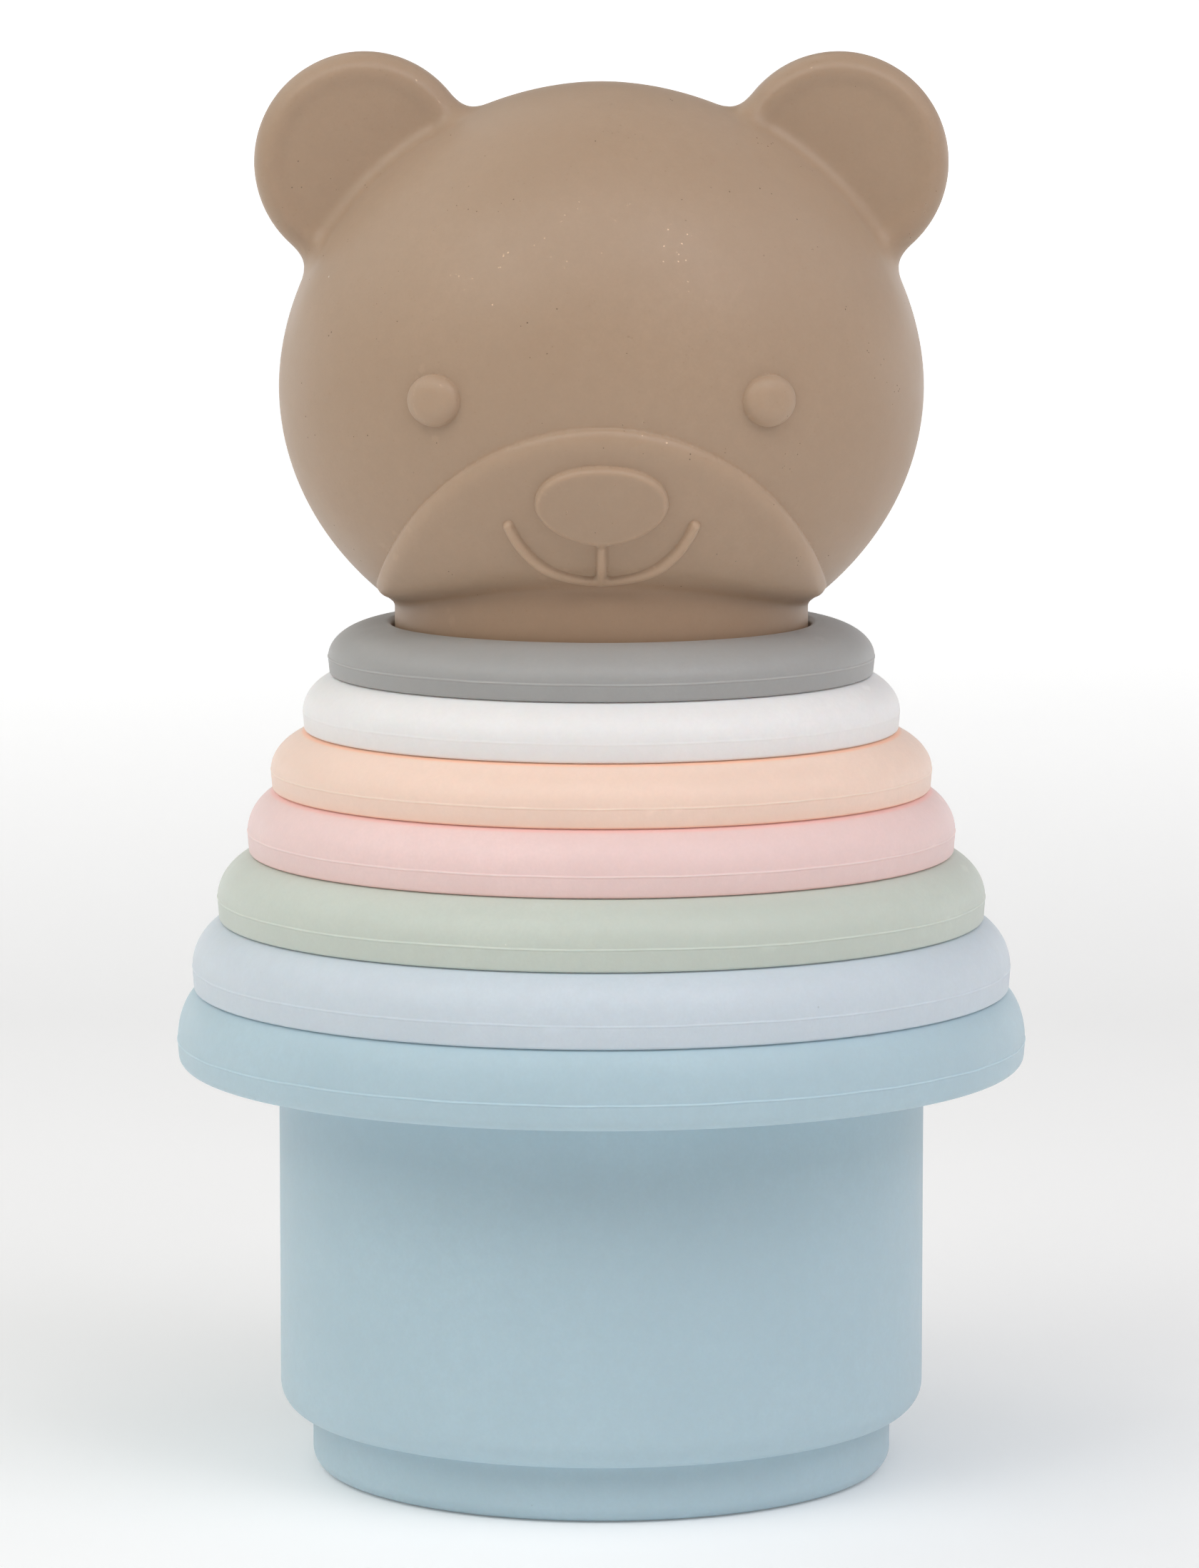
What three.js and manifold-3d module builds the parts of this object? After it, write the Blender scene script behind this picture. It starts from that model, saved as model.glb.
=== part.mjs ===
// A stacking cup tower: seven nested silicone cups with domed rims, and a hollow bear head whose
// neck pushes into the smallest cup. Millimetres, +Z up, the origin at the centre of the largest
// cup's foot, the bear facing -Y. Cup 0 is the largest.

import * as THREE from "three";
import { mergeVertices } from "three/addons/utils/BufferGeometryUtils.js";
import Module from "manifold-3d";

// Driving dimensions shared by every cup
const WALL = 1.5; // thickness of the cup walls and of the neck
const FLOOR = 2; // thickness of a cup's floor
const GAP = 0.3; // clearance where one piece rests on or plugs into another
const LARGEST_WALL_RADIUS = 34.2; // outside of the largest cup's wall
const WALL_RADIUS_STEP = 1.775; // each cup's wall is smaller than the last by this much
const FOOT_HEIGHT = 6.1; // from a cup's underside up to the step under its wall
const WALL_CORNER = 3.2; // radius between the wall and the step
const FOOT_CORNER = 2; // radius round the bottom of the foot

// The rims: each one's radius, and how far its lower edge stands above the one below
const RIM_RADII = [45, 43.4, 40.7, 37.5, 35, 31.6, 28.9];
const CUP_COUNT = RIM_RADII.length;
const LOWEST_RIM = 43.3; // height of the largest cup's lower rim edge
const FIRST_PITCH = 7.9; // height of the largest cup's rim that shows
const PITCH_STEP = 0.4; // each rim shows this much less than the last
const RIM_TAPER = 0.2; // how far the lower rim edge lies inside the parting line
const PARTING_SHARE = 0.35; // height of the parting line in the rim's visible height
const CREST_RISE = 0.7; // how far a rim's crest rises above the next rim's lower edge
const LIP = 0.6; // radius at the mouth

// Depth of each cup, from its crest to its underside
const LARGEST_DEPTH = 51.9;
const DEPTH_STEP = 4.4;

// The bear head
const HEAD = { halfWidth: 33.85, halfDepth: 28.6, up: 31.9, down: 30, centre: 115, power: 1.92 };
const HEAD_WALL = 2.2;
const NECK_RISE = 26; // from the neck's end up to inside the head, where it is joined
const EAR = { radius: 11.5, side: 24.8, height: 138.5, thick: 8, band: 2.4, recess: 0.8, round: 2 };
const EYE = { radius: 2.65, side: 17, height: 115.25, raise: 1.2 };
const MUZZLE = { radius: 24.3, height: 88.4, raise: 1 };
const NOSE = { halfWidth: 6.78, top: 109, widest: 105.2, bottom: 100.8, raise: 2.1 };
const NOSE_FLAT = { top: 0.6, bottom: 0.3 }; // how flat its outline is there, from 0 to 1
const MOUTH = { radius: 10.56, height: 107.3, halfAngle: 1.13, width: 0.95, raise: 1.7 };

// Facets of the round shapes
const ROUND = 32;
const HEAD_ROWS = 14;
const OUTLINE_STEPS = 4;
const FACE_STEPS = 10;
const MERGE_DISTANCE = 1e-4;

const COLOURS = {
  teal: 0xb3c8cf,
  pale_blue: 0xcad2d9,
  sage: 0xc9cfc6,
  pink: 0xebcdc8,
  peach: 0xebcfbf,
  white: 0xe6e4e2,
  grey: 0xa3a3a2,
  bear: 0xaa907b,
};
const CUP_NAMES = ["teal", "pale_blue", "sage", "pink", "peach", "white", "grey"];

const wasm = await Module();
wasm.setup();

// ---- outlines of the cups, as [radius, height] points

// The radius of rim i, and beyond the first and last rims the radius that the row would go on to
function rimRadius(i) {
  const inside = THREE.MathUtils.clamp(i, 0, CUP_COUNT - 1);
  const neighbour = THREE.MathUtils.clamp(i, 1, CUP_COUNT - 2);
  return RIM_RADII[inside] + Math.abs(i - inside) * (RIM_RADII[inside] - RIM_RADII[neighbour]);
}

function rimEdge(i) {
  return LOWEST_RIM + i * FIRST_PITCH - (PITCH_STEP * i * (i - 1)) / 2;
}

function wallRadius(i) {
  return LARGEST_WALL_RADIUS - i * WALL_RADIUS_STEP;
}

function mouthRadius(i) {
  return wallRadius(i) - WALL;
}

// A foot plugs into the mouth of the next smaller cup when the cups are turned over
function footRadius(i) {
  return mouthRadius(i + 1) - GAP / 2;
}

// The dome of rim i is a quarter ellipse from the parting line up to the crest. The next rim's
// underside is the same ellipse grown by the gap, so that it meets the next rim's lower edge.
function dome(i) {
  const parting = rimEdge(i) + PARTING_SHARE * (rimEdge(i + 1) - rimEdge(i));
  const crest = rimEdge(i + 1) + CREST_RISE;
  const rise = crest - parting;
  const shift = rimRadius(i) - rimRadius(i + 1) + RIM_TAPER;
  const cosine = Math.sqrt(1 - ((rimEdge(i + 1) - parting) / (rise + GAP)) ** 2);
  const meeting = (shift + cosine * GAP) / (1 - cosine);
  const room = rimRadius(i) - mouthRadius(i) - LIP;
  const reach = Math.min(meeting, room);
  return { parting, crest, rise, reach, axis: rimRadius(i) - reach };
}

function footHeight(i) {
  return dome(i).crest - (LARGEST_DEPTH - i * DEPTH_STEP);
}

// Points of an elliptical arc, angles in degrees from the +radius direction
function arc(centre, radii, from, to, steps) {
  const points = [];
  for (let k = 0; k <= steps; k += 1) {
    const angle = THREE.MathUtils.degToRad(from + ((to - from) * k) / steps);
    points.push([centre[0] + radii[0] * Math.cos(angle), centre[1] + radii[1] * Math.sin(angle)]);
  }
  return points;
}

// The dish under rim i, from above the wall out to the rim's lower edge
function underside(i) {
  const below = dome(i - 1);
  const radii = [below.reach + GAP, below.rise + GAP];
  const edge = rimRadius(i) - RIM_TAPER - below.axis;
  const angle = THREE.MathUtils.radToDeg(Math.acos(edge / radii[0]));
  return arc([below.axis, below.parting], radii, 90, angle, 2);
}

function cupOutline(i) {
  const foot = footHeight(i);
  const step = foot + FOOT_HEIGHT;
  const outer = wallRadius(i);
  const inner = mouthRadius(i);
  const plug = footRadius(i);
  const well = plug - WALL;
  const rim = dome(i);
  const dish = underside(i);
  const insideCorner = WALL_CORNER - WALL;
  const cornerCentre = outer - WALL_CORNER;
  return [
    [0, foot],
    ...arc([plug - FOOT_CORNER, foot + FOOT_CORNER], [FOOT_CORNER, FOOT_CORNER], -90, 0, 1),
    [plug, step],
    ...arc([cornerCentre, step + WALL_CORNER], [WALL_CORNER, WALL_CORNER], -90, 0, 2),
    [outer, dish[0][1]],
    ...dish,
    ...arc([rim.axis, rim.parting], [rim.reach, rim.rise], 0, 90, OUTLINE_STEPS),
    ...arc([inner + LIP, rim.crest - LIP], [LIP, LIP], 90, 180, 1),
    ...arc([cornerCentre, step + WALL_CORNER], [insideCorner, insideCorner], 0, -90, 1),
    [well, step + WALL],
    [well, foot + FLOOR],
    [0, foot + FLOOR],
  ];
}

// ---- solids

function lathe(outline) {
  const points = outline.map(([radius, height]) => new THREE.Vector2(radius, height));
  const geometry = new THREE.LatheGeometry(points, ROUND);
  geometry.rotateX(Math.PI / 2);
  return geometry;
}

function toSolid(geometry) {
  const bare = geometry.clone();
  bare.deleteAttribute("normal");
  bare.deleteAttribute("uv");
  const merged = mergeVertices(bare, MERGE_DISTANCE);
  const index = Array.from(merged.index.array);
  const kept = [];
  for (let k = 0; k < index.length; k += 3) {
    const [a, b, c] = index.slice(k, k + 3);
    if (a !== b && b !== c && c !== a) kept.push(a, b, c);
  }
  return new wasm.Manifold(
    new wasm.Mesh({
      numProp: 3,
      vertProperties: new Float32Array(merged.attributes.position.array),
      triVerts: new Uint32Array(kept),
    }),
  );
}

function toGeometry(solid) {
  const mesh = solid.getMesh();
  const geometry = new THREE.BufferGeometry();
  geometry.setAttribute("position", new THREE.BufferAttribute(mesh.vertProperties, 3));
  geometry.setIndex(new THREE.BufferAttribute(mesh.triVerts, 1));
  geometry.computeVertexNormals();
  return geometry;
}

// The head's rounded body, grown or shrunk by an offset
function headBody(offset) {
  const outline = [];
  for (let k = 0; k <= HEAD_ROWS; k += 1) {
    const angle = Math.PI * (k / HEAD_ROWS - 0.5);
    const bend = 2 / HEAD.power;
    const reach = k % HEAD_ROWS === 0 ? 0 : Math.cos(angle) ** bend;
    const tall = (angle < 0 ? HEAD.down : HEAD.up) + offset;
    const rise = Math.sign(angle) * Math.abs(Math.sin(angle)) ** bend;
    outline.push([(HEAD.halfWidth + offset) * reach, HEAD.centre + tall * rise]);
  }
  const geometry = lathe(outline);
  geometry.scale(1, (HEAD.halfDepth + offset) / (HEAD.halfWidth + offset), 1);
  return toSolid(geometry);
}

// A prism that runs forward (-Y) from the middle of the head, from a shape drawn in x and z
function forwardPrism(shape) {
  const geometry = new THREE.ExtrudeGeometry(shape, {
    depth: HEAD.halfDepth * 2,
    bevelEnabled: false,
    curveSegments: FACE_STEPS,
  });
  geometry.rotateX(Math.PI / 2);
  return toSolid(geometry);
}

// A feature of the face: the head's own curve raised by some height, inside a drawn shape
function raised(shape, height) {
  return headBody(height).intersect(forwardPrism(shape));
}

function circleShape(x, z, radius) {
  const shape = new THREE.Shape();
  shape.absarc(x, z, radius, 0, 2 * Math.PI);
  return shape;
}

function noseShape() {
  const { halfWidth, top, widest, bottom } = NOSE;
  const upper = halfWidth * NOSE_FLAT.top;
  const lower = halfWidth * NOSE_FLAT.bottom;
  const high = (top + widest) / 2;
  const low = (widest + bottom) / 2;
  const shape = new THREE.Shape();
  shape.moveTo(0, top);
  shape.bezierCurveTo(upper, top, halfWidth, high, halfWidth, widest);
  shape.bezierCurveTo(halfWidth, low, lower, bottom, 0, bottom);
  shape.bezierCurveTo(-lower, bottom, -halfWidth, low, -halfWidth, widest);
  shape.bezierCurveTo(-halfWidth, high, -upper, top, 0, top);
  return shape;
}

function mouthShape() {
  const { radius, height, halfAngle, width } = MOUTH;
  const down = -Math.PI / 2;
  const shape = new THREE.Shape();
  shape.absarc(0, height, radius + width / 2, down - halfAngle, down + halfAngle, false);
  shape.absarc(0, height, radius - width / 2, down + halfAngle, down - halfAngle, true);
  return shape;
}

// The line from the nose down to the mouth
function philtrumShape() {
  const half = MOUTH.width / 2;
  const low = MOUTH.height - MOUTH.radius;
  const high = (NOSE.widest + NOSE.bottom) / 2;
  return new THREE.Shape([
    new THREE.Vector2(-half, low),
    new THREE.Vector2(half, low),
    new THREE.Vector2(half, high),
    new THREE.Vector2(-half, high),
  ]);
}

// An ear is a thick disc facing forward, its front sunk inside a rounded band
function ear(side) {
  const { radius, height, thick, band, recess, round } = EAR;
  const front = thick / 2;
  const geometry = lathe([
    [0, -front],
    [radius - round, -front],
    [radius, -front + round],
    [radius, front - round],
    [radius - round, front],
    [radius - band, front],
    [radius - band - recess, front - recess],
    [0, front - recess],
  ]);
  geometry.rotateX(Math.PI / 2);
  geometry.translate(side * EAR.side, 0, height);
  return toSolid(geometry);
}

// The neck plugs into the smallest cup and stands on the ledge inside it, its end rounded to
// follow the corner of that ledge
const NECK_RADIUS = wallRadius(CUP_COUNT);
const NECK_BASE = footHeight(CUP_COUNT - 1) + FOOT_HEIGHT + WALL + GAP;
const NECK_TOP = NECK_BASE + NECK_RISE;

function cylinder(radius, from, to, corner) {
  return toSolid(
    lathe([
      [0, from],
      ...arc([radius - corner, from + corner], [corner, corner], -90, 0, 1),
      [radius, to],
      [0, to],
    ]),
  );
}

function bearHead() {
  const outside = [
    headBody(0),
    cylinder(NECK_RADIUS, NECK_BASE, NECK_TOP, WALL - GAP / 2),
    ear(-1),
    ear(1),
    raised(circleShape(0, MUZZLE.height, MUZZLE.radius), MUZZLE.raise),
    raised(noseShape(), NOSE.raise),
    raised(mouthShape(), MOUTH.raise),
    raised(philtrumShape(), MOUTH.raise),
    raised(circleShape(-EYE.side, EYE.height, EYE.radius), EYE.raise),
    raised(circleShape(EYE.side, EYE.height, EYE.radius), EYE.raise),
  ].reduce((whole, piece) => whole.add(piece));
  const bore = cylinder(NECK_RADIUS - WALL, NECK_BASE - GAP, NECK_TOP, 0);
  return toGeometry(outside.subtract(headBody(-HEAD_WALL).add(bore)));
}

// ---- the assembly

function silicone(colour) {
  return new THREE.MeshStandardMaterial({ color: colour, roughness: 0.6, metalness: 0 });
}

function named(name, geometry, colour) {
  const mesh = new THREE.Mesh(geometry, silicone(colour));
  mesh.name = name;
  return mesh;
}

const tower = new THREE.Group();
CUP_NAMES.forEach((name, i) => {
  tower.add(named(`${name}_cup`, lathe(cupOutline(i)), COLOURS[name]));
});
tower.add(named("bear_head", bearHead(), COLOURS.bear));

export default tower;
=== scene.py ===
"""The looks of the stacking cup tower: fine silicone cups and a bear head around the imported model.

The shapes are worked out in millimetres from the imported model's boxes and built in metres.
"""

import math

import bmesh
import bpy
import numpy as np
from mathutils import Euler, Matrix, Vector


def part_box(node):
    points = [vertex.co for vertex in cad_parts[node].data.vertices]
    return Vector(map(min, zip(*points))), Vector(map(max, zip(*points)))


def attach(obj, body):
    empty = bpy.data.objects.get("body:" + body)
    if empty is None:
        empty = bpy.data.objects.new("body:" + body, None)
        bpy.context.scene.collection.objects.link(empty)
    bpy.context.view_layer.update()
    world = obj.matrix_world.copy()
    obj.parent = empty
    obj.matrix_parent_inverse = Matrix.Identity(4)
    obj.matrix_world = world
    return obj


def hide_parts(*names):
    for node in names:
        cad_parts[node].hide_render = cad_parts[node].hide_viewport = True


MM = 0.001
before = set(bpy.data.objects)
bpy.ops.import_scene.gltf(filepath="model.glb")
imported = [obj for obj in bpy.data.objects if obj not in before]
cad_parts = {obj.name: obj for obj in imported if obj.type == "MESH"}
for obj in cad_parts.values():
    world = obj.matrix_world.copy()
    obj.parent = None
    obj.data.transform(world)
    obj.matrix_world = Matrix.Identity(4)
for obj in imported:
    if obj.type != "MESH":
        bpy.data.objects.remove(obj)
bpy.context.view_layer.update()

CUPS = ["teal", "pale_blue", "sage", "pink", "peach", "white", "grey"]  # from the largest


# ---- the cups: dimensions in millimetres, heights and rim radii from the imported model

WALL = 1.5
FLOOR = 2.0
FOOT_HEIGHT = 6.1
WALL_CORNER = 3.2
FOOT_CORNER = 2.0
WALL_RADIUS = 34.2
WALL_RADIUS_STEP = 1.775
FOOT_PLUG_GAP = 0.15  # a side, between a foot and the next cup's inside
LOWEST_RIM = 43.3  # height of the lowest rim's lower edge
FIRST_PITCH = 7.9  # from the lowest rim to the next; each later pitch is PITCH_STEP less
PITCH_STEP = 0.4
RIM_TAPER = 0.25  # how far the lower edge lies inside the parting line
PARTING_SHARE = 0.35  # of the pitch, from the lower edge up to the parting line
CREST_RISE = 0.7  # of a rim's top above the next rim's lower edge
LAST_CREST_DROP = 0.6  # the smallest cup's rim is that much flatter
LIP = 0.7
RIM_GAP = 0.05  # between a rim and the dome below it
LIP_ROUND = 0.3  # the lower lip of every rim but the lowest
LOWEST_LIP_ROUND = 1.3
LIP_SPARE = 3  # the dish under a rim stops this many lip radii short of its lip
LOWEST_LIP_WIDTH = 4.5
LOWEST_DISH_WIDTH, LOWEST_DISH_RISE = 6.5, 0.9  # under the lowest rim
WAIST_ROUND = 0.25  # between foot and wall
TURN_IN_ROUND = 0.8  # between wall and rim
LEDGE_ROUND = 0.8
FLOOR_ROUND = 1.2
DOME_START = 5  # degrees above the parting line, where the ridge ends
FLASH_WIDTH = 0.2  # the parting line's fine ridge
FLASH_RAISE = 0.08
FLASH_INSET = 0.01  # how far its upper end lies inside its lower one
FLASH_SWAY = 0.05  # how far it wanders up and down
FLASH_FADE = 0.4  # how much fainter it gets in places
FLASH_SHARE = {
    "teal": 1,
    "pale_blue": 0.5,
    "sage": 1,
    "pink": 0.8,
    "peach": 0.6,
    "white": 0.2,
    "grey": 1,
}
SWAY_REACH = 0.4  # how far from the parting line the section sways with it
SWAY_DEPTH = 0.6
# painted shade and glow reach this far from where two pieces all but touch
CONTACT_SHADE_REACH = 0.3
ROUND_STEPS = 256
LONGEST_STRETCH = 1.5  # of a section, between two points
FADE_SEED = 100


def cup_box(i):
    low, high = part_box(CUPS[i] + "_cup")
    return low / MM, high / MM


def rim_radius(i):
    """The radius of rim i, or of the next one that there would be past the smallest cup."""
    if i >= len(CUPS):
        return 2 * rim_radius(i - 1) - rim_radius(i - 2)
    return cup_box(i)[1].x


def rim_edge(i):
    """The height of rim i's lower edge."""
    return LOWEST_RIM + i * FIRST_PITCH - PITCH_STEP * i * (i - 1) / 2


def wall_radius(i):
    return WALL_RADIUS - i * WALL_RADIUS_STEP


def dome(i):
    """The quarter ellipse of rim i, which the next rim's lower edge clears by the rim gap.

    It is given by the height of its parting line, its top's height, its rise and its reach.
    """
    parting = rim_edge(i) + PARTING_SHARE * (rim_edge(i + 1) - rim_edge(i))
    crest = rim_edge(i + 1) + CREST_RISE
    rise = crest - parting
    shift = rim_radius(i) - rim_radius(i + 1) + RIM_TAPER
    cosine = math.sqrt(1 - ((rim_edge(i + 1) - parting) / (rise + RIM_GAP)) ** 2)
    room = rim_radius(i) - wall_radius(i) + WALL - LIP
    reach = min((shift + cosine * RIM_GAP) / (1 - cosine), room)
    drop = LAST_CREST_DROP if i == len(CUPS) - 1 else 0
    return parting, crest - drop, rise - drop, reach


def arc(centre, radii, start, end, steps):
    turn = np.radians(np.linspace(start, end, steps + 1))
    return [
        (centre[0] + radii[0] * math.cos(a), centre[1] + radii[1] * math.sin(a)) for a in turn
    ]


def fillet(before, corner, after, radius, steps):
    """Points of the arc that rounds a corner."""
    b, c, a = (np.array(p, float) for p in (before, corner, after))
    u = (b - c) / np.linalg.norm(b - c)
    v = (a - c) / np.linalg.norm(a - c)
    half = math.acos(np.clip(u @ v, -1, 1)) / 2
    middle = c + (u + v) / np.linalg.norm(u + v) * radius / math.sin(half)
    start = c + u * radius / math.tan(half) - middle
    end = c + v * radius / math.tan(half) - middle
    from_angle = math.atan2(start[1], start[0])
    turn = math.atan2(end[1], end[0]) - from_angle
    turn = (turn + math.pi) % (2 * math.pi) - math.pi
    angles = from_angle + turn * np.linspace(0, 1, steps + 1)
    return [tuple(middle + radius * np.array([math.cos(t), math.sin(t)])) for t in angles]


def refine(points, longest):
    """Adds points so that no stretch is longer than asked."""
    out = [points[0]]
    for a, b in zip(points, points[1:]):
        count = max(1, math.ceil(math.dist(a, b) / longest))
        for k in range(1, count + 1):
            out.append((a[0] + (b[0] - a[0]) * k / count, a[1] + (b[1] - a[1]) * k / count))
    return out


def rim_underside(i):
    """The points under rim i from the wall outwards, its lower lip's tip and that lip's radius."""
    rim = rim_radius(i)
    if i == 0:
        dish = [
            (rim - LOWEST_DISH_WIDTH, LOWEST_RIM + LOWEST_DISH_RISE),
            (rim - LOWEST_LIP_WIDTH, LOWEST_RIM),
        ]
        return dish, (rim - RIM_TAPER, LOWEST_RIM), LOWEST_LIP_ROUND
    parting, _, rise, reach = dome(i - 1)
    axis = rim_radius(i - 1) - reach
    radii = (reach + RIM_GAP, rise + RIM_GAP)
    tip_angle = math.degrees(math.acos((rim - RIM_TAPER - axis) / radii[0]))
    dish = arc((axis, parting), radii, 90, tip_angle, 24)
    return dish, dish[-1], LIP_ROUND


def cup_outline(i):
    """The section of cup i from the middle of its underside round to the middle of its floor.

    With it comes the height of the parting line.
    """
    foot = cup_box(i)[0].z
    step = foot + FOOT_HEIGHT
    outer = wall_radius(i)
    inner = outer - WALL
    plug = wall_radius(i + 1) - WALL - FOOT_PLUG_GAP
    well = plug - WALL
    parting, crest, rise, reach = dome(i)
    rim = rim_radius(i)
    face = rim - FLASH_RAISE
    corner = (outer - WALL_CORNER, step + WALL_CORNER)

    base = arc((plug - FOOT_CORNER, foot + FOOT_CORNER), (FOOT_CORNER,) * 2, -90, 0, 12)
    waist = fillet((plug, foot + FOOT_CORNER), (plug, step), (corner[0], step), WAIST_ROUND, 5)
    shoulder = arc(corner, (WALL_CORNER,) * 2, -90, 0, 16)

    dish, tip, tip_round = rim_underside(i)
    turn_in = fillet((outer, step), (outer, dish[0][1]), dish[0], TURN_IN_ROUND, 6)
    kept = [p for p in dish if math.dist(p, tip) > LIP_SPARE * tip_round]
    lower_lip = fillet(kept[-1], tip, (face, parting - FLASH_WIDTH), tip_round, 10)
    ridge = [(face, parting - FLASH_WIDTH)]
    ridge += arc((face, parting), (FLASH_RAISE, FLASH_WIDTH / 2), -90, 90, 6)
    ridge += [(face - FLASH_INSET, parting + FLASH_WIDTH)]
    top = arc((rim - reach, parting), (reach - FLASH_RAISE, rise), DOME_START, 90, 28)
    lip = arc((inner + LIP, crest - LIP), (LIP, LIP), 90, 180, 8)
    inside = arc(corner, (WALL_CORNER - WALL,) * 2, 0, -90, 8)
    ledge = fillet((corner[0], step + WALL), (well, step + WALL), (well, foot), LEDGE_ROUND, 6)
    bottom = fillet((well, step), (well, foot + FLOOR), (0, foot + FLOOR), FLOOR_ROUND, 8)
    whole = [(0, foot)] + base + waist + shoulder + turn_in + kept[1:] + lower_lip
    whole += ridge + top + lip + inside + ledge + bottom + [(0, foot + FLOOR)]
    return whole, parting


def contact_points(i):
    """Where cup i's rim rests on the dome below it, and where the rim above rests on its own."""
    upper = [n for n in (i, i + 1) if 0 < n < len(CUPS)]
    return [(rim_radius(n) - RIM_TAPER, rim_edge(n)) for n in upper]


def waviness(angles, seed):
    """A smooth wandering between -1 and 1 round a ring."""
    rng = np.random.default_rng(seed)
    total = np.zeros_like(angles)
    for waves in (2, 5, 11, 23, 41):
        total += rng.normal() * np.sin(waves * angles + rng.uniform(0, 2 * math.pi))
    return total / np.abs(total).max()


def lathe_faces(count):
    """Quads between the lathe's columns of points, and a fan round each of the two poles."""
    column = np.arange(ROUND_STEPS)[:, None] * count
    following = ((np.arange(ROUND_STEPS) + 1) % ROUND_STEPS)[:, None] * count
    row = np.arange(count - 1)[None, :]
    quads = np.stack([column + row, following + row, following + row + 1, column + row + 1], axis=2)
    faces = quads.reshape(-1, 4).tolist()
    under = ROUND_STEPS * count
    floor = under + 1
    for a, b in zip(column[:, 0], following[:, 0]):
        faces.append([under, int(b), int(a)])
        faces.append([floor, int(a) + count - 1, int(b) + count - 1])
    return faces


def write_attribute(mesh, name, values):
    """One number at each of the mesh's points, for the materials to read."""
    attribute = mesh.attributes.new(name, "FLOAT", "POINT")
    attribute.data.foreach_set("value", values.astype(np.float32))


def lathe_mesh(name, outline, parting, flash, contacts, seed):
    """A body of revolution from an outline that starts and ends on the axis.

    The ridge of the parting line wanders a little up and down and in height, as flash does.
    The contacts are the points of the section where it all but touches its neighbours; shade is
    painted round them.
    """
    points = np.array(refine(outline, LONGEST_STRETCH))
    ring = points[1:-1]
    angles = np.linspace(0, 2 * math.pi, ROUND_STEPS, endpoint=False)
    sway = waviness(angles, seed)
    fade = 0.5 + 0.5 * waviness(angles, seed + FADE_SEED)
    rim = ring[:, 0].max()
    near = np.exp(-(((ring[:, 1] - parting) / SWAY_REACH) ** 2)) * (ring[:, 0] > rim - SWAY_DEPTH)
    crown = np.clip((ring[:, 0] - (rim - FLASH_RAISE)) / FLASH_RAISE, 0, 1) * (near > 0.5)
    strength = flash * (1 - FLASH_FADE * fade)
    radius = ring[None, :, 0] - (crown * FLASH_RAISE)[None, :] * (1 - strength)[:, None]
    height = ring[None, :, 1] + near[None, :] * FLASH_SWAY * sway[:, None]
    x = radius * np.cos(angles)[:, None]
    y = radius * np.sin(angles)[:, None]
    body = np.stack([x, y, height], axis=2).reshape(-1, 3)
    poles = np.array([[0, 0, points[0, 1]], [0, 0, points[-1, 1]]])
    verts = np.vstack([body, poles]) * MM

    mesh = bpy.data.meshes.new(name)
    mesh.from_pydata(verts.tolist(), [], lathe_faces(len(ring)))
    mesh.shade_smooth()
    # painted highlight along the crown of the parting line's ridge
    ridge_highlight = crown[None, :] * strength[:, None]
    write_attribute(mesh, "painted_highlight", np.append(ridge_highlight, [0, 0]))
    # painted shade where the section all but touches its neighbours
    nearest = np.full(len(ring), math.inf)
    for spot in contacts:
        nearest = np.minimum(nearest, np.hypot(*(ring - spot).T))
    shaded_near_contact = np.tile(np.exp(-((nearest / CONTACT_SHADE_REACH) ** 2)), ROUND_STEPS)
    write_attribute(mesh, "contact_shade", np.append(shaded_near_contact, [0, 0]))
    return mesh


# ---- the bear head: a field that is negative inside the silicone, in millimetres

HEAD_WALL = 2.2
HEAD_AXES = (33.85, 28.6)  # half its width and half its depth
HEAD_CENTRE = 115.0
HEAD_UP = (31.9, 1.92)  # height above the centre, and the power of that half's outline
HEAD_DOWN = (29.6, 2.0)
NECK_RADIUS = wall_radius(len(CUPS))
NECK_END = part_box("bear_head")[0].z / MM
NECK_RISE = 26.0
NECK_ROUND = 1.3
EAR_RADIUS = 11.5
EAR_HALF = 4.0  # of its thickness
EAR_ROUND = 3.0
EAR_BAND = 2.3  # width of the raised rim round its sunk face
EAR_RECESS = 0.6
EAR_FRONT = (0.5, 2.0)  # distances before the ear's middle between which the recess fades in
EAR_SLOPE = (1.3, 1.1)  # the recess's edge reaches this far inside and outside the band's line
EAR_BLEND, EAR_BAND_BLEND = 2.0, 0.7  # into the skull, and how much wider that is at the band
EAR_BLEND_START = 3.5  # how far inside the ear's edge it starts to widen
NECK_BLEND = 0.4
NECK_MOUTH_BLEND = 0.3  # rounds the neck's open end
HOLLOW_BLEND = 3.0  # between the neck's bore and the hollow above
EAR_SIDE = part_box("bear_head")[1].x / MM - EAR_RADIUS
EAR_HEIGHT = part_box("bear_head")[1].z / MM - EAR_RADIUS
EYE = (17.0, 115.25, 2.65)  # distance to the side, height, radius
EYE_RAISE = 1.4
EYE_EDGE = 2.0
DIMPLE_DEPTH, DIMPLE_REACH = 0.06, 0.7  # in the middle of each eye
MUZZLE = (88.4, 24.3)  # height of its circle's centre, radius
MUZZLE_RAISE = 1.0
MUZZLE_EDGE = 1.8
MUZZLE_FADE = 2.4  # the muzzle sinks into the skull within this distance of the neck
NOSE_HALF_WIDTH = 6.6
NOSE_TOP, NOSE_WIDEST, NOSE_BOTTOM = 109.1, 105.3, 101.2
NOSE_POWERS = (2.2, 1.85)  # of its outline's upper and lower half
NOSE_RAISE = 1.0
NOSE_EDGE = 0.65
NOSE_LINE_INSET, NOSE_LINE_BLEND = 0.35, 0.9  # where the mouth's line runs into the nose
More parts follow.
